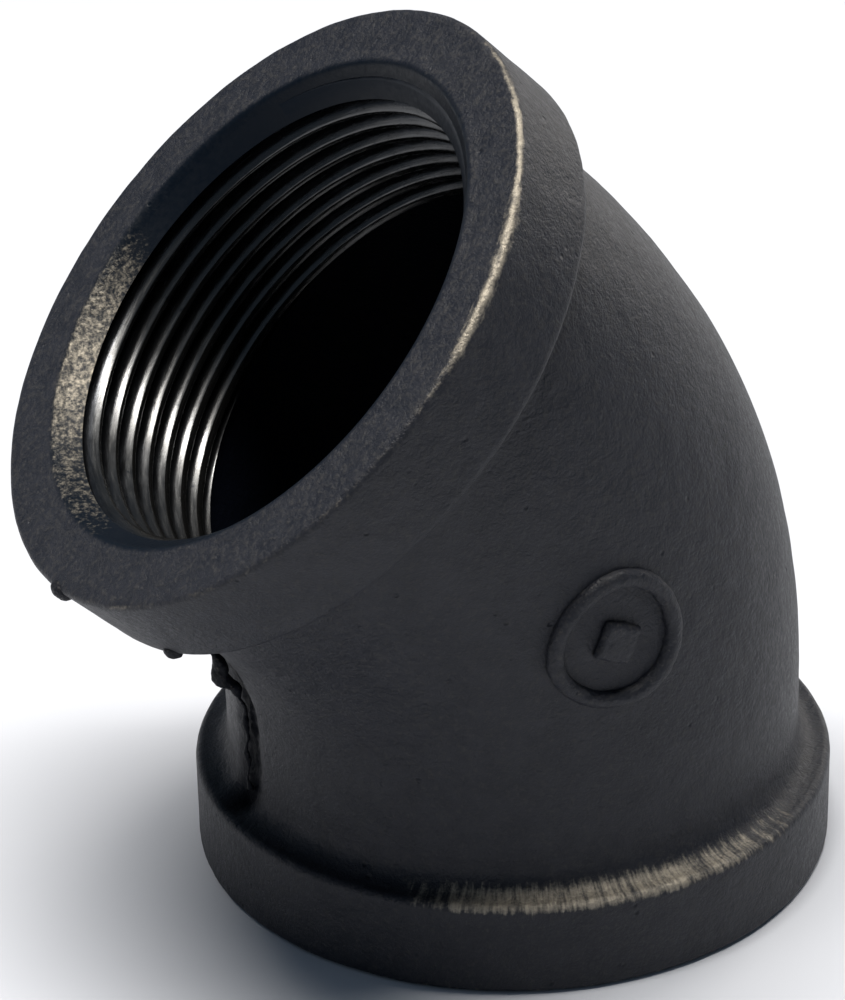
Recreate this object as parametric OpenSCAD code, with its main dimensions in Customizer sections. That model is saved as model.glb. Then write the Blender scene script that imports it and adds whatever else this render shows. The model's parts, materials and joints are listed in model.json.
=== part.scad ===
// Banded 45 degree pipe elbow with an internal taper pipe thread in each mouth.
// The real elbow is one iron casting. Its nodes are the regions of that casting, face to face.
// Lower mouth: centre at the origin, axis along Z. The upper pipe axis leans towards -X.

/* [Elbow] */
// Angle that the pipe run turns through
bend_angle = 45; // [30:1:60]
// From the crossing of the two pipe axes to each mouth
centre_to_end = 35.5; // [29.5:0.5:60]
// How far each thread reaches past the start of the bend
thread_past_bend = 1.2; // [0.6:0.1:4]
// Iron behind the thread roots, from the root at the mouth to the barrel's outside
thread_wall = 3.6; // [3:0.1:8]
// Iron round the chamber in the bend
chamber_wall = 3.95; // [2.5:0.05:5]

/* [Bands] */
// Width of each band along its pipe axis
band_w = 9.4; // [6:0.1:12]
// How far a band stands out from the barrel
band_step = 3.2; // [2.5:0.1:6]
// Radius on a band's edge at the mouth
mouth_round = 0.7; // [0.3:0.1:1]
// Radius on a band's edge at its shoulder
shoulder_round = 0.9; // [0.3:0.1:1.2]
// Fillet where the barrel runs into a band's shoulder
shoulder_fillet = 2.2; // [0.5:0.1:5]

/* [Thread] */
// Pitch diameter of the taper thread at the mouth
thread_pitch_d = 46.287; // [30:0.001:60]
// Threads in 25.4 mm
threads_per_inch = 11.5; // [8:0.5:14]
// Depth of the thread from the mouth
thread_length = 18.5; // [14:0.1:22]
// Width of the mouth's chamfer beyond the thread roots
mouth_relief = 0.9; // [0.5:0.1:2]
// Flat ring of the threaded lining left outside the chamfer
mouth_land = 0.7; // [0.3:0.1:0.9]

/* [Cast marks] */
// Outer diameter of the plain raised ring on the side of the bend
mark_d = 13; // [8:0.5:20]
// Width of the raised line
mark_line = 1.2; // [0.8:0.1:2]
// Height of the raised mark over the barrel
mark_h = 0.7; // [0.3:0.1:1.2]
// Radius of the flash bead along the inside of the bend
flash_r = 0.8; // [0.4:0.1:1.5]
// Radius of the flash lumps on the upper band
lump_r = 1; // [0.6:0.1:1.5]

/* [Hidden] */

round_fn = 240;
edge_steps = 5;
thread_steps = 32;
skin = [0.14, 0.14, 0.15];
bright = [0.45, 0.45, 0.47];

// Thread: its height and root flat follow the pitch, and the taper is 1 in 16 on the diameter.
pitch = 25.4 / threads_per_inch;
thread_h = 0.8 * pitch;
root_flat = 0.033 * pitch;
taper = 1 / 32;
flank = 30;
crest_r = (thread_pitch_d - thread_h) / 2;
root_r = (thread_pitch_d + thread_h) / 2;
// The groove's flanks run on past the crest by groove_past, and its cutter into the bore by groove_air.
groove_past = 0.027 * pitch;
groove_air = 0.6;
groove_start = 0.1 * pitch;

// Walls, from the thread outwards.
mouth_r = root_r + mouth_relief;
lining_r = mouth_r + mouth_land;
barrel_r = root_r + thread_wall;
band_r = barrel_r + band_step;
chamber_r = barrel_r - chamber_wall;
fillet_r = min(shoulder_fillet, band_step - shoulder_round);
cut = 1;
bend_start = thread_length - thread_past_bend;
// The chamber's bend starts this far in from the mouth, so that it runs into the lining's seat.
chamber_start = thread_length - cut / 2;

function bend_radius(start) = (centre_to_end - start) / tan(bend_angle / 2);

function arc_points(cx, cy, r, from, to) = [
    for (i = [0:edge_steps])
        let (a = from + (to - from) * i / edge_steps)
            [cx + r * cos(a), cy + r * sin(a)]
];

// A socket's own frame: its mouth is at z = 0 and the pipe runs in along +Z.
module at_upper() {
    translate([0, 0, centre_to_end])
        rotate([0, -bend_angle, 0])
            translate([0, 0, centre_to_end])
                rotate([180, 0, 0])
                    children();
}

module at_both() {
    children();
    at_upper() children();
}

// The bend's own frame: its centre of curvature, with the bend sweeping from +X towards +Z.
module at_bend_centre(start) {
    translate([-bend_radius(start), 0, start])
        rotate([90, 0, 0])
            children();
}

// A round rod along the bend, from start to the same distance short of the upper mouth.
module bent_rod(r, start) {
    at_bend_centre(start)
        rotate_extrude(angle = bend_angle, $fn = round_fn)
            translate([bend_radius(start), 0])
                circle(r = r, $fn = round_fn);
}

module bend() {
    color(skin)
        difference() {
            bent_rod(barrel_r, bend_start);
            bent_rod(chamber_r, chamber_start);
            at_both()
                translate([0, 0, bend_start - cut])
                    cylinder(r = lining_r, h = thread_length - bend_start + cut, $fn = round_fn);
        }
}

// A socket's outer wall in section: mouth edge, band, shoulder, fillet and straight barrel.
module socket() {
    mouth_edge = arc_points(band_r - mouth_round, mouth_round, mouth_round, -90, 0);
    shoulder_edge = arc_points(band_r - shoulder_round, band_w - shoulder_round, shoulder_round, 0, 90);
    fillet = arc_points(barrel_r + fillet_r, band_w + fillet_r, fillet_r, 270, 180);
    wall_end = [[barrel_r, bend_start], [lining_r, bend_start], [lining_r, 0]];
    color(skin)
        rotate_extrude($fn = round_fn)
            polygon(concat(mouth_edge, shoulder_edge, fillet, wall_end));
}

// One cross-section of the thread groove, with thread_steps of them to a turn.
function groove_ring(i) =
    let (
        a = 360 * i / thread_steps,
        z = groove_start + pitch * i / thread_steps,
        root = root_r - z * taper,
        crest = crest_r - groove_past,
        air = crest_r - groove_air,
        w = root_flat / 2,
        v = w + (root - crest) * tan(flank)
    )
    [
        for (p = [[air, -v], [crest, -v], [root, -w], [root, w], [crest, v], [air, v]])
            [p[0] * cos(a), p[0] * sin(a), z + p[1]]
    ];

module thread_groove() {
    rings = thread_steps * (ceil(thread_length / pitch) + 1);
    m = len(groove_ring(0));
    points = [for (i = [0:rings]) each groove_ring(i)];
    sides = [
        for (i = [0:rings - 1])
            for (k = [0:m - 1])
                let (a = m * i + k, b = m * i + (k + 1) % m)
                    each [[a, b, b + m], [a, b + m, a + m]]
    ];
    start_cap = [[for (k = [m - 1:-1:0]) k]];
    end_cap = [[for (k = [0:m - 1]) m * rings + k]];
    polyhedron(points, concat(start_cap, sides, end_cap), convexity = 20);
}

module thread() {
    color(bright)
        difference() {
            cylinder(r = lining_r, h = thread_length, $fn = round_fn);
            translate([0, 0, -cut])
                cylinder(r = crest_r, h = thread_length + 2 * cut, $fn = round_fn);
            translate([0, 0, -cut])
                cylinder(r1 = mouth_r + cut, r2 = crest_r, h = mouth_r + cut - crest_r, $fn = round_fn);
            thread_groove();
        }
}

module lower_socket() {
    socket();
}

module upper_socket() {
    at_upper() socket();
}

module lower_thread() {
    thread();
}

module upper_thread() {
    at_upper() thread();
}

// A plain ring round a plain diamond.
module mark_outline() {
    difference() {
        circle(d = mark_d, $fn = round_fn);
        circle(d = mark_d - 2 * mark_line, $fn = round_fn);
    }
    rotate(45)
        square(mark_d / 3, center = true);
}

// The mark stands on the -Y side of the bend's middle.
module raised_mark() {
    color(skin)
        intersection() {
            at_bend_centre(bend_start)
                rotate([0, 0, bend_angle / 2])
                    translate([bend_radius(bend_start), 0, 0])
                        linear_extrude(barrel_r + 2 * mark_h)
                            mark_outline();
            difference() {
                bent_rod(barrel_r + mark_h, bend_start);
                bent_rod(barrel_r, bend_start);
            }
        }
}

// Flash on the mould's parting plane, on the inside of the bend.
module parting_flash() {
    color(skin) {
        flash_bead();
        flash_lumps();
    }
}

module flash_bead() {
    difference() {
        at_bend_centre(bend_start)
            rotate_extrude(angle = bend_angle, $fn = round_fn)
                translate([bend_radius(bend_start) - barrel_r, 0])
                    circle(r = flash_r, $fn = round_fn);
        bent_rod(barrel_r, bend_start);
    }
}

module flash_lumps() {
    difference() {
        at_upper()
            for (z = [mouth_round + lump_r, band_w - shoulder_round - lump_r])
                translate([-band_r, 0, z])
                    sphere(r = lump_r, $fn = round_fn);
        upper_socket();
    }
}

bend();
lower_socket();
upper_socket();
lower_thread();
upper_thread();
raised_mark();
parting_flash();
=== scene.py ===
import json
import math

import bpy
import numpy as np
from mathutils import Matrix, Vector

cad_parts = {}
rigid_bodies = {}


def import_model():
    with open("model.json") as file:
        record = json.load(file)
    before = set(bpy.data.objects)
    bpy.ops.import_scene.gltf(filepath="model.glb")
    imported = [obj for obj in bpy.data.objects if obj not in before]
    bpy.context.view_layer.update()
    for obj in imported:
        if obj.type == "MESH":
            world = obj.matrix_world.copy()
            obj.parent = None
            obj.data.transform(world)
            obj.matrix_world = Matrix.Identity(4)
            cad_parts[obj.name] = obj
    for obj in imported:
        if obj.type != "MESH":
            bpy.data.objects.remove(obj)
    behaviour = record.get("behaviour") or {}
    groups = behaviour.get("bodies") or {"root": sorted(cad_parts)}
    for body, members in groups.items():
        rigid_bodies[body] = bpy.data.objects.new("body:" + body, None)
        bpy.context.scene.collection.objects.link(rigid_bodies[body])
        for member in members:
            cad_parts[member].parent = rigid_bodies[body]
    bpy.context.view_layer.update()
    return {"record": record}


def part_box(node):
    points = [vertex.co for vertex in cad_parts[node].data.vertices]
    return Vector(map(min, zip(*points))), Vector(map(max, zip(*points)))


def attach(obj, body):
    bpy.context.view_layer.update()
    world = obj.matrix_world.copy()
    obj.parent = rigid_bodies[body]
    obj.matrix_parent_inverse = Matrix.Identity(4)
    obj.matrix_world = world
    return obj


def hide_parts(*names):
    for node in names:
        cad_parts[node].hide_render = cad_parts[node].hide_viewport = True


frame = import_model()

# ---- sizes, in metres, from the frame ------------------------------------------------------

MM = 0.001
mounts = {m["name"]: m for m in frame["record"]["mounts"]}
upper_axis = Vector(mounts["upper_face"]["axis"])
BEND = math.atan2(-upper_axis.x, upper_axis.z)
CENTRE_TO_END = -mounts["upper_face"]["pos_m"][0] / math.sin(BEND)
CREST_R = mounts["lower_thread"]["dims"]["r_mm"] * MM
BAND_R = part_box("lower_socket")[1].x
SOCKET_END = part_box("lower_socket")[1].z
LINING_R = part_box("lower_thread")[1].x
THREAD_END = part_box("lower_thread")[1].z

# The casting's outside and its walls.
BAND_W = 9.4 * MM
BAND_PROUD = 3.2 * MM
CHAMBER_WALL = 3.95 * MM
BARREL_R = BAND_R - BAND_PROUD
CHAMBER_R = BARREL_R - CHAMBER_WALL
SHOULDER_ROUND = 0.9 * MM
FILLET = 2.2 * MM
BEND_RADIUS = (CENTRE_TO_END - SOCKET_END) / math.tan(BEND / 2)
BEND_CENTRE = Vector((-BEND_RADIUS, 0, SOCKET_END))
BEND_INNER_R = BEND_RADIUS - BARREL_R

# The mouth: its chamfer runs from MOUTH_R on the casting to the thread, which the casting meets at SEAT_R.
MOUTH_R = LINING_R - 0.7 * MM
MOUTH_ROUND = 0.7 * MM
MOUTH_EDGE = 0.45 * MM
SEAT_R = 24.15 * MM
SEAT_DEPTH = MOUTH_R - SEAT_R
SEAT_DROP = 0.3 * MM

# The thread: 11.5 turns to the inch, tapered 1 in 16 on the diameter.
PITCH = 25.4 / 11.5 * MM
THREAD_H = 0.8 * PITCH
ROOT_R = CREST_R + THREAD_H
ROOT_FLAT = 0.033 * PITCH
TAPER = 1 / 32
FLANK = math.tan(math.radians(30))
THREAD_START_AT = 163

# The raised mark on the side of the bend.
MARK_R = 6.5 * MM
MARK_LINE = 1.2 * MM
MARK_H = 0.7 * MM
MARK_PROUD = 1.35 * MARK_H
MARK_RING_HALF = 0.8 * MARK_LINE

# Where the skin is rubbed, in degrees round a mouth. On the upper mouth the rim and chamfer spots lie on
# the side the key light strikes, so their bare metal is also a painted highlight; the shoulder's is wear
# alone.
RIM_WEAR_AND_HIGHLIGHT_AT = 46
RIM_WEAR_AND_HIGHLIGHT_WIDEST_AT = 60
CHAMFER_WEAR_AND_HIGHLIGHT_AT = -123
CHAMFER_LIGHT_WEAR_AT = -155
LOWER_CHAMFER_WORN = 0.2
SHOULDER_WEAR_STARTS = (-141, -123)
SHOULDER_WEAR_FADES = (-92, -42)

# How finely the pieces are divided.
ROUND = 320
STEP = 0.6 * MM
FINE_STEP = 0.2 * MM
SHORT_HIDDEN_STEP = 2 * MM
LONG_HIDDEN_STEP = 3 * MM
ARC_STEPS = 5
FILLET_STEPS = 6
CHAMBER_STEPS = 14
BARREL_STEPS = 34
THREAD_STEPS = 160
NEAR = 1e-7

# From the lower socket's own frame to the upper's: both have the mouth at z = 0 and the pipe along +Z.
TO_CROSSING = Matrix.Translation((0, 0, CENTRE_TO_END))
TO_UPPER = TO_CROSSING @ Matrix.Rotation(-BEND, 4, "Y") @ TO_CROSSING @ Matrix.Rotation(math.pi, 4, "X")


# ---- bench tools ---------------------------------------------------------------------------

def clear_selection():
    bpy.ops.object.select_all(action="DESELECT")


def finish_edit(piece_name):
    bpy.ops.object.mode_set(mode="OBJECT")
    piece = bpy.context.object
    piece.name = piece_name
    piece.data.name = piece_name
    return piece


def only(piece):
    clear_selection()
    piece.select_set(True)
    bpy.context.view_layer.objects.active = piece


def arc(centre_r, centre_z, radius, start, end, steps):
    """Points of a section's arc, angles in degrees, without its first point."""
    turns = [math.radians(start + (end - start) * i / steps) for i in range(1, steps + 1)]
    return [(centre_r + radius * math.cos(a), centre_z + radius * math.sin(a)) for a in turns]


def line(from_point, to_point, step=STEP):
    """Points along a straight stretch of a section, without its first point."""
    length = math.dist(from_point, to_point)
    count = max(1, round(length / step))
    return [
        tuple(a + (b - a) * i / count for a, b in zip(from_point, to_point))
        for i in range(1, count + 1)
    ]


def turn_ring(first, count=ROUND):
    """Starts a round piece as one open ring of edges, all selected, in edit mode."""
    clear_selection()
    bpy.ops.mesh.primitive_circle_add(
        vertices=count, radius=first[0], fill_type="NOTHING", enter_editmode=True, location=(0, 0, first[1])
    )
    bpy.ops.object.mode_set(mode="OBJECT")
    bpy.ops.object.transform_apply(location=True, rotation=False, scale=False)
    bpy.ops.object.mode_set(mode="EDIT")


def grow(section):
    """Extrudes the selected ring through the section's (radius, height) points in turn."""
    for (r0, z0), (r1, z1) in zip(section, section[1:]):
        bpy.ops.mesh.extrude_region_move(TRANSFORM_OT_translate={"value": (0, 0, z1 - z0)})
        if abs(r1 - r0) > 1e-9:
            bpy.ops.transform.resize(value=(r1 / r0, r1 / r0, 1), center_override=(0, 0, z1))


def select_where(piece, wanted):
    """In edit mode, selects the vertices whose place passes the test."""
    bpy.ops.mesh.select_mode(type="VERT")
    bpy.ops.mesh.select_all(action="DESELECT")
    bpy.ops.object.mode_set(mode="OBJECT")
    for vertex in piece.data.vertices:
        vertex.select = wanted(vertex.co)
    bpy.ops.object.mode_set(mode="EDIT")
    bpy.ops.mesh.select_mode(type="VERT")


def outward(piece):
    """Turns every face of a closed piece to face out."""
    only(piece)
    bpy.ops.object.mode_set(mode="EDIT")
    bpy.ops.mesh.select_all(action="SELECT")
    bpy.ops.mesh.normals_make_consistent(inside=False)
    bpy.ops.object.mode_set(mode="OBJECT")


def place(piece, matrix):
    """Moves the mesh itself, so the object stays at the origin, unturned."""
    piece.matrix_world = matrix
    only(piece)
    bpy.ops.object.transform_apply(location=True, rotation=True, scale=True)


def add_and_apply(piece, kind, **settings):
    only(piece)
    modifier = piece.modifiers.new(kind.title(), kind)
    for key, value in settings.items():
        setattr(modifier, key, value)
    bpy.ops.object.modifier_apply(modifier=modifier.name)


def smooth(piece, degrees):
    only(piece)
    bpy.ops.object.shade_smooth_by_angle(angle=math.radians(degrees))


def uneven(piece, scale, depth, seed_shift, keep_inside=True, group=""):
    """Lumps of about that scale, pressed in by up to depth, or half in and half out."""
    grain = bpy.data.textures.new(f"{piece.name}_lumps_{seed_shift}", "CLOUDS")
    grain.noise_scale = scale
    grain.noise_depth = 3
    aside = Vector((seed_shift, 0, 0)) * scale
    for vertex in piece.data.vertices:
        vertex.co += aside
    add_and_apply(
        piece, "DISPLACE", texture=grain, texture_coords="LOCAL", strength=depth,
        mid_level=1.0 if keep_inside else 0.5, vertex_group=group,
    )
    for vertex in piece.data.vertices:
        vertex.co -= aside


# ---- elbow casting -------------------------------------------------------------------------

def half_section():
    """The lower half's section, from the barrel's outside round the mouth to the chamber."""
    points = [(BARREL_R, SOCKET_END)]
    fillet_z = BAND_W + FILLET
    points += line(points[-1], (BARREL_R, fillet_z))
    points += arc(BARREL_R + FILLET, fillet_z, FILLET, 180, 270, FILLET_STEPS)
    shoulder_r = BAND_R - SHOULDER_ROUND
    points += line(points[-1], (shoulder_r, BAND_W), FINE_STEP)
    points += arc(shoulder_r, BAND_W - SHOULDER_ROUND, SHOULDER_ROUND, 90, 0, ARC_STEPS)
    points += line(points[-1], (BAND_R, MOUTH_ROUND))
    points += arc(BAND_R - MOUTH_ROUND, MOUTH_ROUND, MOUTH_ROUND, 0, -90, ARC_STEPS)
    points += line(points[-1], (MOUTH_R + MOUTH_EDGE, 0))
    edge = MOUTH_EDGE / math.sqrt(2)
    points += [(MOUTH_R - 0.2 * edge, 0.3 * edge), (MOUTH_R - edge, edge)]
    points += line(points[-1], (SEAT_R, SEAT_DEPTH), STEP / 2)
    points += line(points[-1], (LINING_R, SEAT_DEPTH + SEAT_DROP), SHORT_HIDDEN_STEP)
    points += line(points[-1], (LINING_R, THREAD_END), LONG_HIDDEN_STEP)
    points += line(points[-1], (CHAMBER_R, THREAD_END), SHORT_HIDDEN_STEP)
    return points


def spin_to_middle(start, steps):
    """Spins the selected ring about the bend's centre, up to the plane midway between the mouths."""
    radius = (CENTRE_TO_END - start) / math.tan(BEND / 2)
    bpy.ops.mesh.spin(steps=steps, angle=BEND / 2, center=(-radius, 0, start), axis=(0, 1, 0))


def vertex_places(piece):
    return np.array([vertex.co for vertex in piece.data.vertices])


def socket_places(own):
    """Radius, depth and angle of each place in its nearer socket, and whether that is the upper."""
    matrix = np.array(TO_UPPER.inverted())
    far = own @ matrix[:3, :3].T + matrix[:3, 3]
    nearer = (far[:, 2] < own[:, 2])[:, None]
    place = np.where(nearer, far, own)
    around = np.arctan2(place[:, 1], place[:, 0])
    return np.hypot(place[:, 0], place[:, 1]), place[:, 2], around, nearer[:, 0]


def fade(value, start, end):
    """0 at start, 1 at end, smooth between."""
    t = np.clip((value - start) / (end - start), 0, 1)
    return t * t * (3 - 2 * t)


def set_group(piece, name, weights):
    group = piece.vertex_groups.new(name=name)
    for index, weight in enumerate(weights):
        if weight > 0.001:
            group.add([index], float(weight), "REPLACE")


def set_tone(piece, name, values):
    layer = piece.data.attributes.new(name, "FLOAT", "POINT")
    layer.data.foreach_set("value", np.ascontiguousarray(values, dtype=np.float32))


def set_place(piece, name, values):
    layer = piece.data.attributes.new(name, "FLOAT_VECTOR", "POINT")
    layer.data.foreach_set("vector", np.ascontiguousarray(values, dtype=np.float32).ravel())


def from_parting_line(own):
    """Distance of each vertex from the line down the inside of the bend to the lower band."""
    centre = np.array(BEND_CENTRE)
    away = own - centre
    turn = np.clip(np.arctan2(away[:, 2], away[:, 0]), 0, BEND)
    on_line = centre + BEND_INNER_R * np.stack((np.cos(turn), 0 * turn, np.sin(turn)), axis=1)
    on_line[:, 2] += np.clip(away[:, 2], BAND_W - SOCKET_END, 0)
    return np.linalg.norm(own - on_line, axis=1)


def bore_distance(own):
    """Distance of each vertex from the pipe's centre line."""
    centre = np.array(BEND_CENTRE)
    away = own - centre
    turn = np.clip(np.arctan2(away[:, 2], away[:, 0]), 0, BEND)
    on_arc = centre + BEND_RADIUS * np.stack((np.cos(turn), 0 * turn, np.sin(turn)), axis=1)
    return np.linalg.norm(own - on_arc, axis=1)


def roughen_casting(piece):
    """Gives the skin its cast unevenness, and tears the surface where the flash was broken off."""
    own = vertex_places(piece)
    radius, depth, _, _ = socket_places(own)
    inside_wall = bore_distance(own) < CHAMBER_R + 1.5 * MM
    in_chamber = (depth > THREAD_END) & inside_wall
    in_socket = (depth <= THREAD_END + 10 * NEAR) & (radius < LINING_R + 0.1 * MM) & (depth > 0.6 * MM)
    skin = np.where(in_chamber, 0.8, fade(radius, MOUTH_R + 0.1 * MM, MOUTH_R + 1.2 * MM))
    set_group(piece, "skin", np.where(in_socket, 0, skin))
    torn = fade(-from_parting_line(own), -3.2 * MM, -0.8 * MM)
    set_group(piece, "scar_and_shade", np.where(inside_wall, 0, torn))
    uneven(piece, scale=6 * MM, depth=0.16 * MM, seed_shift=3, group="skin")
    uneven(piece, scale=1.9 * MM, depth=0.07 * MM, seed_shift=11, group="skin")
    uneven(piece, scale=1.5 * MM, depth=1.1 * MM, seed_shift=8, group="scar_and_shade")


def nearness(around, degrees):
    """1 at that angle round the mouth, falling to -1 opposite it."""
    return np.cos(around - math.radians(degrees))


def chamfer_wear_and_highlight(around):
    """How rubbed the upper chamfer is at each angle round its mouth: bare metal on the side the key light
    strikes, wear and a painted highlight both.
    """
    hard = fade(nearness(around, CHAMFER_WEAR_AND_HIGHLIGHT_AT), 0.84, 1.0)
    light = fade(nearness(around, CHAMFER_LIGHT_WEAR_AT), 0.74, 1.0)
    return 0.46 * hard + 0.34 * light * (1 - 0.6 * hard)


def rim_wear_and_highlight(radius, depth, around):
    """A mouth's outer edge: a thin rub all round, and the side where the upper one is bright, whose wider
    rub is also a painted highlight line.
    """
    widest = fade(nearness(around, RIM_WEAR_AND_HIGHLIGHT_WIDEST_AT), 0.94, 0.995)
    width = (0.36 + 0.26 * widest) * MM
    inset = 0.25 * MM
    rim = np.exp(-((radius - BAND_R + inset) ** 2 + (depth - inset) ** 2) / width ** 2)
    return rim, fade(nearness(around, RIM_WEAR_AND_HIGHLIGHT_AT), 0.72, 0.93)


def shoulder_wear(radius, depth, around):
    """The front of the lower band's shoulder, rubbed from its edge up into the fillet."""
    shoulder = fade(radius, BARREL_R + 0.2 * MM, BARREL_R + 1.1 * MM)
    shoulder *= fade(depth, BAND_W - 1.1 * MM, BAND_W - 0.3 * MM) * (depth < BAND_W + FILLET)
    side = np.degrees(around)
    return shoulder * fade(side, *SHOULDER_WEAR_STARTS) * (1 - fade(side, *SHOULDER_WEAR_FADES))


def tone_casting(piece):
    """Where the skin is rubbed to the metal (on the upper mouth's lit side also a painted highlight), cut,
    sooty round the broken flash with painted shade spreading from it over the inside of the bend, or
    painted near-black as shade in the chamber.
    """
    own = vertex_places(piece)
    radius, depth, around, is_upper = socket_places(own)
    chamfer = (radius < MOUTH_R + 0.15 * MM) & (depth < 1.2 * MM)
    rim, rim_wear_and_highlight_side = rim_wear_and_highlight(radius, depth, around)
    # Painted highlight: the upper rim's wider rub on one side stands also for the line of light along that
    # edge.
    upper_skin = rim * (0.78 * rim_wear_and_highlight_side + 0.18)
    lower_skin = 0.3 * rim + 0.72 * shoulder_wear(radius, depth, around)
    # Painted highlight: the rubbed patch on the upper chamfer sits where the key light strikes it.
    upper_wear_and_highlight = np.where(chamfer, chamfer_wear_and_highlight(around), upper_skin)
    lower_worn = np.where(chamfer, LOWER_CHAMFER_WORN, lower_skin)
    set_tone(piece, "wear_and_highlight", np.clip(np.where(is_upper, upper_wear_and_highlight, lower_worn), 0, 1))
    set_tone(piece, "cut", np.where(chamfer, 1.0, 0.0))
    # Painted shade: darker the nearer the parting line, from 24 mm out, over the inside of the bend where
    # the elbow shades itself; only the part right by the line is the soot of the torn flash.
    set_tone(piece, "scar_and_shade", fade(-from_parting_line(own), -24 * MM, -1.2 * MM))
    # Painted shade: the chamber inside is marked to turn near-black and lose its shine.
    in_chamber = fade(-bore_distance(own), -CHAMBER_R - 1.6 * MM, -CHAMBER_R - 0.6 * MM)
    set_tone(piece, "chamber", in_chamber * (depth > THREAD_END - 0.1 * MM))
    set_rub_place(piece, radius, depth, around, is_upper)


def set_rub_place(piece, radius, depth, around, is_upper):
    """Combs the shoulder's wear across the strip, and draws the upper rim's out along the edge."""
    along = np.where(is_upper, 0.3, 1.0) * around * BAND_R
    across = np.where(is_upper, 0.6, 0.16)
    set_place(piece, "rub_place", np.stack((along, across * radius, across * depth), axis=1))


def make_casting():
    """Turns the lower half, spins its two ends up to the bend's middle and mirrors it there."""
    section = half_section()
    turn_ring(section[0])
    grow(section)
    spin_to_middle(THREAD_END, CHAMBER_STEPS)
    piece = bpy.context.object
    at_rim = 10 * NEAR
    select_where(piece, lambda p: abs(p.z - SOCKET_END) < at_rim and abs(p.xy.length - BARREL_R) < at_rim)
    spin_to_middle(SOCKET_END, BARREL_STEPS)
    piece = finish_edit("elbow_casting")
    to_middle = Matrix.Rotation(BEND / 2, 4, "Y") @ TO_CROSSING.inverted()
    place(piece, to_middle)
    add_and_apply(
        piece, "MIRROR", use_axis=(False, False, True), use_mirror_merge=True, merge_threshold=1e-5
    )
    place(piece, to_middle.inverted())
    outward(piece)
    tone_casting(piece)
    roughen_casting(piece)
    return piece


# ---- cut threads ---------------------------------------------------------------------------

def tooth():
    """One pitch of the thread's section, (radius, height), with its crest rubbed broad and round."""
    half = [
        (ROOT_R, ROOT_FLAT / 2),
        (CREST_R + 0.68 * MM, 0.245 * PITCH),
        (CREST_R + 0.38 * MM, 0.335 * PITCH),
        (CREST_R + 0.15 * MM, 0.412 * PITCH),
        (CREST_R + 0.03 * MM, 0.458 * PITCH),
        (CREST_R, 0.488 * PITCH),
    ]
    return [(r, -z) for r, z in reversed(half)] + half


def make_thread():
    """A closed sleeve with the taper thread inside, in the lower socket's frame."""
    section = tooth()
    below = 2  # turns run past each end, to be trimmed off
    turns = math.ceil(THREAD_END / PITCH) + 2 * below
    first = (section[0][0], section[0][1] - below * PITCH)
    clear_selection()
    bpy.ops.mesh.primitive_plane_add(size=MM, enter_editmode=True, location=(0, 0, 0))
    bpy.ops.mesh.merge(type="CENTER")
    bpy.ops.transform.translate(value=(first[0], 0, first[1]))
    stops = section + [(section[0][0], section[0][1] + PITCH)]
    for (r0, z0), (r1, z1) in zip(stops, stops[1:]):
        bpy.ops.mesh.extrude_vertices_move(TRANSFORM_OT_translate={"value": (r1 - r0, 0, z1 - z0)})
    piece = finish_edit("lower_cut_thread")
    add_and_apply(
        piece, "SCREW", axis="Z", angle=2 * math.pi, screw_offset=PITCH, iterations=turns,
        steps=THREAD_STEPS, render_steps=THREAD_STEPS, use_merge_vertices=False,
    )
    only(piece)
    bpy.ops.object.mode_set(mode="EDIT")
    bpy.ops.mesh.select_all(action="SELECT")
    bpy.ops.mesh.remove_doubles(threshold=1e-6)
    bpy.ops.object.mode_set(mode="OBJECT")
    run_taper(piece)
    place(piece, Matrix.Rotation(math.radians(THREAD_START_AT), 4, "Z"))
    close_sleeve(piece)
    countersink(piece)
    outward(piece)
    tone_thread(piece)
    return piece


def run_taper(piece):
    """Draws the roots in with depth, so the grooves get shallower and the crests wider."""
    mesh = piece.data
    co = np.empty(len(mesh.vertices) * 3)
    mesh.vertices.foreach_get("co", co)
    co = co.reshape(-1, 3)
    angle = np.arctan2(co[:, 1], co[:, 0])
    radius = np.hypot(co[:, 0], co[:, 1])
    along = co[:, 2] - PITCH * angle / (2 * math.pi)
    offset = along - PITCH * np.round(along / PITCH)
    groove_z = co[:, 2] - offset
    drop = np.clip(groove_z, 0, None) * TAPER
    is_root = radius > ROOT_R - 0.1 * MM
    new_radius = np.where(is_root, radius - drop, radius)
    new_offset = np.where(is_root, offset, offset - np.sign(offset) * drop * FLANK)
    co[:, 0] = new_radius * np.cos(angle)
    co[:, 1] = new_radius * np.sin(angle)
    co[:, 2] = groove_z + new_offset
    mesh.vertices.foreach_set("co", co.ravel())
    mesh.update()


def close_sleeve(piece):
    """Trims both ends square and walls the thread in, out to the lining's radius."""
    only(piece)
    bpy.ops.object.mode_set(mode="EDIT")
    bpy.ops.mesh.select_all(action="SELECT")
    bpy.ops.mesh.bisect(
        plane_co=(0, 0, THREAD_END), plane_no=(0, 0, 1), clear_outer=True, threshold=1e-8
    )
    bpy.ops.mesh.select_all(action="SELECT")
    bpy.ops.mesh.bisect(plane_co=(0, 0, 0), plane_no=(0, 0, 1), clear_inner=True, threshold=1e-8)
    for end in (0, THREAD_END):
        select_where(piece, lambda p: abs(p.z - end) < NEAR)
        bpy.ops.mesh.extrude_region_move(TRANSFORM_OT_translate={"value": (0, 0, 0)})
        bpy.ops.object.mode_set(mode="OBJECT")
        for vertex in piece.data.vertices:
            if vertex.select:
                vertex.co.xy = vertex.co.xy.normalized() * LINING_R
        bpy.ops.object.mode_set(mode="EDIT")
    select_where(piece, lambda p: abs(p.xy.length - LINING_R) < NEAR)
    bpy.ops.mesh.select_mode(type="EDGE")
    bpy.ops.mesh.bridge_edge_loops()
    bpy.ops.object.mode_set(mode="OBJECT")


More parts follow.
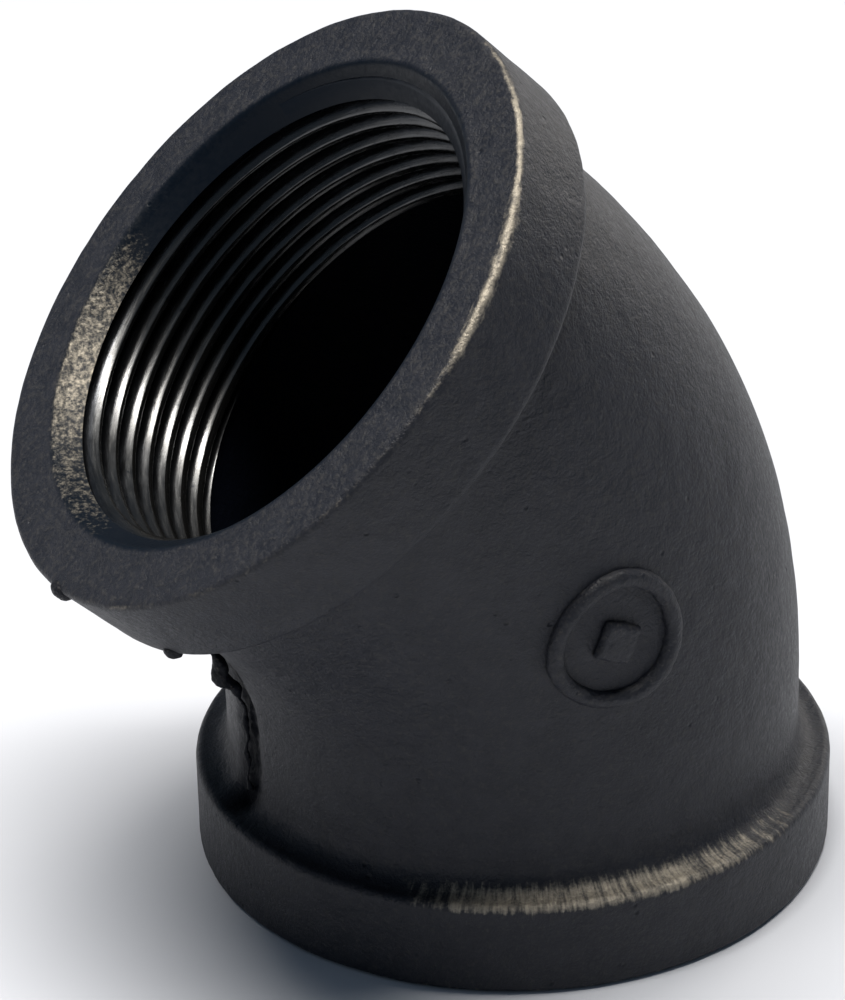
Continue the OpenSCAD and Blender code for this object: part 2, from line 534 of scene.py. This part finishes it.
def countersink(piece):
    """Takes the mouth's 45 degree chamfer, and the seat that the casting covers, out of the sleeve."""
    reach = 2 * MM
    outer = LINING_R + reach
    inner = CREST_R - 0.5 * MM
    seat_slope = SEAT_DROP / (LINING_R - SEAT_R)
    section = [
        (inner, MOUTH_R - inner),
        (SEAT_R, SEAT_DEPTH),
        (LINING_R, SEAT_DEPTH + SEAT_DROP),
        (outer, SEAT_DEPTH + SEAT_DROP + reach * seat_slope),
        (outer, -reach),
        (inner, -reach),
    ]
    turn_ring(section[0], THREAD_STEPS)
    grow(section)
    bpy.ops.mesh.edge_face_add()
    cutter = finish_edit("countersink")
    cap_open_end(cutter, section[0][1])
    outward(cutter)
    add_and_apply(piece, "BOOLEAN", operation="DIFFERENCE", object=cutter, solver="EXACT")
    bpy.data.objects.remove(cutter)


def cap_open_end(piece, height):
    only(piece)
    bpy.ops.object.mode_set(mode="EDIT")
    select_where(piece, lambda p: abs(p.z - height) < NEAR and p.xy.length < CREST_R)
    bpy.ops.mesh.edge_face_add()
    bpy.ops.object.mode_set(mode="OBJECT")


def tone_thread(piece):
    """Each vertex's place in its own socket, for the tool marks, and how rubbed its crest is."""
    places = vertex_places(piece)
    set_place(piece, "bore_place", places)
    radius = np.hypot(places[:, 0], places[:, 1])
    set_tone(piece, "crest", fade(-radius, -(CREST_R + 0.9 * MM), -(CREST_R + 0.4 * MM)))
    chamfer_r = MOUTH_R - places[:, 2]
    chamfer = 1 - fade(radius - chamfer_r, 0.0, 0.12 * MM)
    set_tone(piece, "cut", chamfer)
    set_tone(piece, "wear_and_highlight", np.full(len(places), LOWER_CHAMFER_WORN))


def rub_and_highlight_upper_chamfer(piece):
    """Rubs the same side of the upper thread's chamfer as on the casting, where the bare metal is also a
    painted highlight.
    """
    places = vertex_places(piece)
    around = np.arctan2(places[:, 1], places[:, 0])
    piece.data.attributes["wear_and_highlight"].data.foreach_set("value", chamfer_wear_and_highlight(around).astype(np.float32))


def copy_to_upper(piece, name):
    """A second sleeve with its own mesh, worn and put in the upper socket."""
    twin = piece.copy()
    twin.data = piece.data.copy()
    twin.name = name
    twin.data.name = name
    bpy.context.scene.collection.objects.link(twin)
    rub_and_highlight_upper_chamfer(twin)
    place(twin, TO_UPPER)
    return twin


# ---- cast mark and flash -------------------------------------------------------------------

def wrap_on_flank(piece):
    """Lays a flat piece, face up in its own XY, on the -Y flank at the bend's middle."""
    middle = BEND / 2
    for vertex in piece.data.vertices:
        u, v, w = vertex.co
        tilt = u / BARREL_R
        radius = BEND_RADIUS + (BARREL_R + w) * math.sin(tilt)
        turn = middle + v / BEND_RADIUS
        vertex.co = BEND_CENTRE + Vector((
            radius * math.cos(turn), -(BARREL_R + w) * math.cos(tilt), radius * math.sin(turn),
        ))
    piece.data.update()


def make_mark():
    """A plain ring with a diamond in it, cast soft-edged and laid on the flank."""
    clear_selection()
    bpy.ops.mesh.primitive_torus_add(
        major_radius=MARK_R - MARK_LINE / 2, minor_radius=MARK_RING_HALF,
        major_segments=96, minor_segments=20,
    )
    piece = bpy.context.object
    bpy.ops.object.mode_set(mode="EDIT")
    bpy.ops.mesh.select_all(action="SELECT")
    bpy.ops.transform.resize(value=(1, 1, MARK_PROUD / MARK_RING_HALF))
    bpy.ops.mesh.select_all(action="DESELECT")
    diamond_r = 0.98 * math.sqrt(2) * MARK_R / 3
    bpy.ops.mesh.primitive_circle_add(vertices=4, radius=diamond_r, fill_type="NGON")
    bpy.ops.mesh.extrude_region_move(TRANSFORM_OT_translate={"value": (0, 0, MARK_PROUD)})
    bpy.ops.transform.resize(value=(0.8, 0.8, 1))
    bpy.ops.mesh.select_linked()
    bpy.ops.transform.translate(value=(0, 0, -0.05 * MM))
    bpy.ops.mesh.normals_make_consistent(inside=False)
    bpy.ops.mesh.select_mode(type="EDGE")
    bpy.ops.mesh.bevel(offset=0.38 * MM, segments=4, profile=0.5)
    piece = finish_edit("cast_mark")
    add_and_apply(piece, "REMESH", mode="VOXEL", voxel_size=0.14 * MM)
    add_and_apply(piece, "SMOOTH", factor=0.7, iterations=4)
    uneven(piece, scale=1.1 * MM, depth=0.22 * MM, seed_shift=7)
    wrap_on_flank(piece)
    outward(piece)
    return piece


def bead_station(s):
    """Place, slope and radius of the flash bead, s metres up the inside from the bend's start."""
    turn = max(s, 0) / BEND_INNER_R
    stub = math.exp(-((math.degrees(turn) - 24) / 6.5) ** 2)
    away = BEND_INNER_R - 0.9 * MM * stub - 0.12 * MM * math.sin(2.1 * s / MM)
    at = BEND_CENTRE + Vector((away * math.cos(turn), 0, away * math.sin(turn) + min(s, 0)))
    return at, turn, (0.24 + 0.10 * math.sin(1.7 * s / MM) + 0.7 * stub) * MM


def make_bead():
    """What is left of the flash down the inside of the bend: a thin ragged line and one stub."""
    clear_selection()
    start, end, step = -6.5 * MM, BEND * BEND_INNER_R, 0.3 * MM
    stations = [bead_station(start + step * i) for i in range(round((end - start) / step))]
    foot, _, foot_r = stations[0]
    bpy.ops.mesh.primitive_circle_add(
        vertices=20, radius=foot_r, fill_type="NGON", enter_editmode=True, location=foot
    )
    for (before, turn0, r0), (after, turn1, r1) in zip(stations, stations[1:]):
        bpy.ops.mesh.extrude_region_move(TRANSFORM_OT_translate={"value": after - before})
        if turn1 > turn0:
            bpy.ops.transform.rotate(
                value=turn1 - turn0, orient_axis="Y", center_override=after, orient_type="GLOBAL"
            )
        bpy.ops.transform.resize(value=(r1 / r0, r1 / r0, r1 / r0), center_override=after)
    piece = finish_edit("flash_bead")
    bpy.ops.object.transform_apply(location=True, rotation=True, scale=True)
    add_and_apply(piece, "REMESH", mode="VOXEL", voxel_size=0.14 * MM)
    uneven(piece, scale=1.3 * MM, depth=0.45 * MM, seed_shift=2, keep_inside=False)
    uneven(piece, scale=0.5 * MM, depth=0.1 * MM, seed_shift=9, keep_inside=False)
    outward(piece)
    return piece


def make_lump(name, angle, depth, size, seed):
    """A torn stub of flash on the upper band, that many degrees round its mouth."""
    clear_selection()
    side = math.radians(angle)
    sunk = BAND_R - 0.45 * MM
    spot = Vector((sunk * math.cos(side), sunk * math.sin(side), depth))
    bpy.ops.mesh.primitive_ico_sphere_add(subdivisions=5, radius=1.0 * MM, location=TO_UPPER @ spot)
    piece = bpy.context.object
    piece.name = name
    piece.data.name = name
    across = TO_UPPER.to_3x3() @ spot.xy.to_3d().normalized()
    piece.rotation_euler = across.to_track_quat("Z", "X").to_euler()
    piece.scale = size
    bpy.ops.object.transform_apply(location=True, rotation=True, scale=True)
    uneven(piece, scale=1.3 * MM, depth=0.45 * MM, seed_shift=seed, keep_inside=False)
    uneven(piece, scale=0.5 * MM, depth=0.1 * MM, seed_shift=seed + 1, keep_inside=False)
    outward(piece)
    return piece


def tone_small_piece(piece, wear_and_highlight, scar_and_shade):
    """The same tones as the casting has, one value each."""
    count = len(piece.data.vertices)
    for name, amount in (("wear_and_highlight", wear_and_highlight), ("scar_and_shade", scar_and_shade), ("cut", 0.0), ("chamber", 0.0)):
        set_tone(piece, name, np.full(count, amount))
    set_place(piece, "rub_place", vertex_places(piece))


# ---- materials -----------------------------------------------------------------------------

class Paint:
    """A material's nodes, laid out in the order they are added."""

    def __init__(self, name):
        self.material = bpy.data.materials.new(name)
        self.material.use_nodes = True
        self.tree = self.material.node_tree
        self.shader = self.tree.nodes["Principled BSDF"]
        self.count = 0

    def node(self, kind, **settings):
        made = self.tree.nodes.new(kind)
        made.location = (-1600 + 180 * (self.count % 8), 600 - 260 * (self.count // 8))
        self.count += 1
        for key, value in settings.items():
            setattr(made, key, value)
        return made

    def link(self, out, into):
        self.tree.links.new(out, into)

    def feed(self, into, value):
        if isinstance(value, (int, float, tuple)):
            into.default_value = value
        else:
            self.link(value, into)

    def place(self):
        return self.node("ShaderNodeTexCoord").outputs["Object"]

    def tone(self, name):
        return self.node("ShaderNodeAttribute", attribute_name=name).outputs["Fac"]

    def vector(self, name):
        return self.node("ShaderNodeAttribute", attribute_name=name).outputs["Vector"]

    def stretched(self, place, scale):
        mapping = self.node("ShaderNodeMapping")
        self.link(place, mapping.inputs["Vector"])
        mapping.inputs["Scale"].default_value = scale
        return mapping.outputs["Vector"]

    def noise(self, place, size, detail=4.0, roughness=0.6, distortion=0.0):
        """Cloudy grain whose lumps are about size metres across."""
        made = self.node("ShaderNodeTexNoise")
        self.link(place, made.inputs["Vector"])
        made.inputs["Scale"].default_value = 1 / size
        made.inputs["Detail"].default_value = detail
        made.inputs["Roughness"].default_value = roughness
        made.inputs["Distortion"].default_value = distortion
        return made.outputs["Fac"]

    def cells(self, place, size):
        made = self.node("ShaderNodeTexVoronoi")
        self.link(place, made.inputs["Vector"])
        made.inputs["Scale"].default_value = 1 / size
        return made.outputs["Distance"]

    def between(self, value, low, high, to_low=0.0, to_high=1.0):
        made = self.node("ShaderNodeMapRange", interpolation_type="SMOOTHSTEP")
        self.feed(made.inputs["Value"], value)
        made.inputs["From Min"].default_value = low
        made.inputs["From Max"].default_value = high
        made.inputs["To Min"].default_value = to_low
        made.inputs["To Max"].default_value = to_high
        return made.outputs["Result"]

    def maths(self, operation, first, second=0.0):
        made = self.node("ShaderNodeMath", operation=operation)
        self.feed(made.inputs[0], first)
        self.feed(made.inputs[1], second)
        return made.outputs[0]

    def mix(self, amount, first, second):
        made = self.node("ShaderNodeMix", data_type="RGBA")
        self.feed(made.inputs["Factor"], amount)
        self.feed(made.inputs["A"], first)
        self.feed(made.inputs["B"], second)
        return made.outputs["Result"]

    def mix_value(self, amount, first, second):
        made = self.node("ShaderNodeMix", data_type="FLOAT")
        self.feed(made.inputs["Factor"], amount)
        self.feed(made.inputs["A"], first)
        self.feed(made.inputs["B"], second)
        return made.outputs["Result"]

    def bump(self, height, distance, under=None):
        made = self.node("ShaderNodeBump")
        self.link(height, made.inputs["Height"])
        self.feed(made.inputs["Distance"], distance)
        if under is not None:
            self.link(under, made.inputs["Normal"])
        return made.outputs["Normal"]

    def set(self, name, value):
        self.feed(self.shader.inputs[name], value)


# The first, darkest colour is soot on the torn flash and also painted shade over the inside of the bend and
# in the chamber.
BURNT_AND_SHADE = (0.0016, 0.0024, 0.005, 1)
SOOT = (0.0040, 0.0056, 0.0115, 1)
SKIN = (0.0105, 0.0120, 0.0185, 1)
SKIN_PALE = (0.029, 0.0285, 0.030, 1)
# The bare metal colour is also the painted highlight on the upper mouth's rim and chamfer.
BARE_METAL_AND_HIGHLIGHT = (0.30, 0.27, 0.22, 1)
CUT_DARK = (0.002, 0.0045, 0.009, 1)
CUT_BARE = (0.05, 0.056, 0.068, 1)
CREST_BARE = (0.115, 0.113, 0.108, 1)
THREAD_STAIN = (0.018, 0.021, 0.028, 1)


def skin_material():
    """Black malleable casting skin: mottled oxide, sandy grain, metal showing where it is rubbed (on the
    upper mouth's lit side also a painted highlight), and painted shade over the inside of the bend and in
    the chamber.
    """
    paint = Paint("black_casting_skin")
    place = paint.place()
    mottle = paint.noise(place, 2.6 * MM, 6, 0.65)
    grain = paint.noise(place, 0.55 * MM, 4, 0.7)
    sand = paint.noise(place, 0.26 * MM, 3, 0.6)
    pits = paint.between(paint.cells(place, 1.6 * MM), 0.02, 0.22, 1, 0)
    few = paint.between(paint.noise(place, 3.5 * MM, 2), 0.56, 0.66)
    pits = paint.maths("MULTIPLY", pits, few)
    wear_and_highlight, cut, scar_and_shade = paint.tone("wear_and_highlight"), paint.tone("cut"), paint.tone("scar_and_shade")
    chamber = paint.tone("chamber")

    colour = paint.mix(paint.between(mottle, 0.35, 0.65), SOOT, SKIN)
    colour = paint.mix(paint.between(grain, 0.46, 0.74), colour, SKIN_PALE)
    colour = paint.mix(cut, colour, CUT_DARK)
    # Painted shade: darker towards the parting line over the inside of the bend and near-black in the
    # chamber; only the torn flash by the line is soot.
    torn = paint.maths("MULTIPLY", paint.between(scar_and_shade, 0.85, 1.0), paint.noise(place, 1.6 * MM, 5, 0.7))
    dark = paint.maths("ADD", paint.maths("MULTIPLY", scar_and_shade, 0.95), paint.between(torn, 0.35, 0.55))
    dark = paint.maths("MINIMUM", paint.maths("MAXIMUM", dark, chamber), 1.0)
    colour = paint.mix(dark, colour, BURNT_AND_SHADE)

    comb = paint.noise(paint.vector("rub_place"), 0.42 * MM, 3, 0.55)
    # Bare metal where rubbed; on the upper mouth's rim and chamfer it is also a painted highlight.
    rubbed = rubbed_and_highlit_amount(paint, wear_and_highlight, paint.mix_value(cut, comb, grain), sand)
    paint.set("Base Color", paint.mix(rubbed, colour, BARE_METAL_AND_HIGHLIGHT))
    # The shine is taken away in the same painted shade.
    shine = paint.mix_value(dark, 0.36, 0.03)
    paint.set("Specular IOR Level", paint.mix_value(cut, shine, 0.16))
    paint.set("Metallic", paint.maths("MULTIPLY", rubbed, 0.6))
    rough = paint.between(grain, 0.3, 0.7, 0.42, 0.6)
    rough = paint.maths("SUBTRACT", rough, paint.maths("MULTIPLY", cut, 0.12))
    rough = paint.maths("SUBTRACT", rough, paint.maths("MULTIPLY", rubbed, 0.06))
    paint.set("Roughness", rough)

    calm = paint.maths("MAXIMUM", paint.between(cut, 0.0, 1.0, 1.0, 0.2), paint.between(wear_and_highlight, 0.1, 0.5))
    lumps = paint.bump(mottle, paint.maths("MULTIPLY", calm, 0.26 * MM))
    grains = paint.bump(grain, paint.maths("MULTIPLY", calm, 0.15 * MM), lumps)
    sandy = paint.bump(sand, paint.maths("MULTIPLY", calm, 0.07 * MM), grains)
    pitted = paint.bump(paint.maths("SUBTRACT", 1.0, pits), 0.18 * MM, sandy)
    paint.set("Normal", pitted)
    return paint.material


def rubbed_and_highlit_amount(paint, wear_and_highlight, grain, sand):
    """Speckled wear, which also carries the upper mouth's painted highlight: metal shows first on the high
    grains.
    """
    speckle = paint.maths("ADD", paint.maths("MULTIPLY", grain, 0.7), paint.maths("MULTIPLY", sand, 0.3))
    rubbed = paint.maths("ADD", paint.maths("MULTIPLY", wear_and_highlight, 0.42), speckle)
    rubbed = paint.between(rubbed, 0.58, 0.94)
    return paint.maths("MULTIPLY", rubbed, paint.between(wear_and_highlight, 0.03, 0.2))


def thread_material():
    """Cut iron: dark oiled metal with tool marks along the thread, and a black chamfer at the mouth, bare
    on the upper one's lit side as wear and painted highlight both.
    """
    paint = Paint("cut_iron")
    bore = paint.vector("bore_place")
    place = paint.place()
    drag = paint.noise(paint.stretched(bore, (0.06, 0.06, 1)), 0.16 * MM, 3, 0.6)
    chips = paint.noise(bore, 0.7 * MM, 4, 0.65)
    stain = paint.noise(bore, 4 * MM, 4, 0.6)
    grain = paint.noise(place, 0.55 * MM, 4, 0.7)
    sand = paint.noise(place, 0.26 * MM, 3, 0.6)
    crest, cut, wear_and_highlight = paint.tone("crest"), paint.tone("cut"), paint.tone("wear_and_highlight")
    metal = paint.mix(paint.between(stain, 0.35, 0.7), CUT_BARE, THREAD_STAIN)
    metal = paint.mix(paint.maths("MULTIPLY", crest, 0.6), metal, CREST_BARE)
    metal = paint.mix(paint.between(chips, 0.6, 0.75), metal, THREAD_STAIN)
    # The rubbed patch on the upper chamfer is also a painted highlight on the side the key light strikes.
    rubbed = rubbed_and_highlit_amount(paint, wear_and_highlight, grain, sand)
    face = paint.mix(rubbed, CUT_DARK, BARE_METAL_AND_HIGHLIGHT)
    paint.set("Base Color", paint.mix(cut, metal, face))
    paint.set("Metallic", paint.mix_value(cut, 0.95, paint.maths("MULTIPLY", rubbed, 0.85)))
    paint.set("Specular IOR Level", paint.mix_value(cut, 0.5, 0.16))
    smooth_cut = paint.between(drag, 0.3, 0.7, 0.19, 0.29)
    rough_face = paint.between(grain, 0.3, 0.7, 0.38, 0.52)
    paint.set("Roughness", paint.mix_value(cut, smooth_cut, rough_face))
    marks = paint.bump(drag, 0.015 * MM)
    tooth_grain = paint.mix_value(paint.maths("MULTIPLY", wear_and_highlight, cut), 0.004 * MM, 0.2 * MM)
    paint.set("Normal", paint.bump(grain, tooth_grain, marks))
    return paint.material


# ---- build ---------------------------------------------------------------------------------

skin = skin_material()
cut_iron = thread_material()

casting = make_casting()
smooth(casting, 40)
casting.data.materials.append(skin)
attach(casting, "root")
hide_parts("bend", "lower_socket", "upper_socket")

lower_thread = make_thread()
smooth(lower_thread, 35)
upper_thread = copy_to_upper(lower_thread, "upper_cut_thread")
for thread, node in ((lower_thread, "lower_thread"), (upper_thread, "upper_thread")):
    thread.data.materials.append(cut_iron)
    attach(thread, "root")
    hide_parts(node)

mark = make_mark()
flash = [
    make_bead(),
    make_lump("flash_mouth_lump", angle=173, depth=1.1 * MM, size=(1.1, 1.3, 0.95), seed=21),
    make_lump("flash_shoulder_lump", angle=157, depth=8.6 * MM, size=(0.9, 1.0, 0.8), seed=31),
]
tone_small_piece(mark, wear_and_highlight=0.1, scar_and_shade=0.0)
for piece in flash:
    tone_small_piece(piece, wear_and_highlight=0.12, scar_and_shade=0.6)
for piece in (mark, *flash):
    smooth(piece, 60)
    piece.data.materials.append(skin)
    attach(piece, "root")
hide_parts("raised_mark")
for piece in flash:
    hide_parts("parting_flash")


# ---- stage ---------------------------------------------------------------------------------

FLOOR_SIZE = 6
FLOOR_COLOUR = (0.60, 0.62, 0.67, 1)
FLOOR_ROUGHNESS = 0.9
SKY_COLOUR = (0.60, 0.78, 1, 1)
SKY_STRENGTH = 0.14
LENS = 88.05
SENSOR_HEIGHT = 24
CAMERA_AZIMUTH = math.radians(24.82)
CAMERA_ELEVATION = math.radians(27.06)
CAMERA_ROLL = math.radians(-1.38)
CAMERA_DISTANCE = 0.3429
AIM = Vector((-8.0, 2.1, 35.7)) * MM


def make_floor():
    clear_selection()
    bpy.ops.mesh.primitive_plane_add(size=FLOOR_SIZE)
    floor = bpy.context.object
    floor.name = "floor"
    paint = bpy.data.materials.new("pale_floor")
    paint.use_nodes = True
    surface = paint.node_tree.nodes["Principled BSDF"].inputs
    surface["Base Color"].default_value = FLOOR_COLOUR
    surface["Roughness"].default_value = FLOOR_ROUGHNESS
    floor.data.materials.append(paint)


def look(point, aim, roll):
    """Stands at the point, faces the aim and leans by the roll."""
    turn = (aim - point).to_track_quat("-Z", "Y").to_matrix().to_4x4()
    return Matrix.Translation(point) @ turn @ Matrix.Rotation(roll, 4, "Z")


def make_camera():
    lens = bpy.data.cameras.new("camera")
    lens.sensor_fit = "VERTICAL"
    lens.sensor_height = SENSOR_HEIGHT
    lens.lens = LENS
    lens.clip_start = 0.01
    camera = bpy.data.objects.new("camera", lens)
    bpy.context.scene.collection.objects.link(camera)
    level = math.cos(CAMERA_ELEVATION)
    back = Vector((
        -level * math.sin(CAMERA_AZIMUTH),
        -level * math.cos(CAMERA_AZIMUTH),
        math.sin(CAMERA_ELEVATION),
    ))
    camera.matrix_world = look(AIM + CAMERA_DISTANCE * back, AIM, CAMERA_ROLL)
    bpy.context.scene.camera = camera


def soft_light(name, place_at, long_way, size, power, tint):
    """A softbox that faces the elbow, its long side lying along long_way."""
    lamp = bpy.data.lights.new(name, "AREA")
    lamp.shape = "RECTANGLE"
    lamp.size, lamp.size_y = size
    lamp.energy = power
    lamp.color = tint
    light = bpy.data.objects.new(name, lamp)
    bpy.context.scene.collection.objects.link(light)
    back = (Vector(place_at) - AIM).normalized()
    along = Vector(long_way)
    along = (along - along.dot(back) * back).normalized()
    turn = Matrix((along, back.cross(along), back)).transposed().to_4x4()
    light.matrix_world = Matrix.Translation(place_at) @ turn


def make_sky():
    """A dim, even blue from all round, so the shaded side isn't black."""
    world = bpy.data.worlds.new("studio")
    world.use_nodes = True
    world.node_tree.nodes["Background"].inputs["Color"].default_value = SKY_COLOUR
    world.node_tree.nodes["Background"].inputs["Strength"].default_value = SKY_STRENGTH
    bpy.context.scene.world = world


make_floor()
make_camera()
soft_light(
    "key", place_at=(-0.08, 0.08, 1.07), long_way=(0.85, -0.51, 0), size=(0.95, 0.15),
    power=20, tint=(1, 0.96, 0.90),
)
soft_light(
    "edge", place_at=(0.9, 0.45, 0.4), long_way=(0, 0, 1), size=(0.5, 0.4),
    power=3.6, tint=(1, 0.94, 0.86),
)
make_sky()
bpy.context.scene.view_settings.view_transform = "Standard"
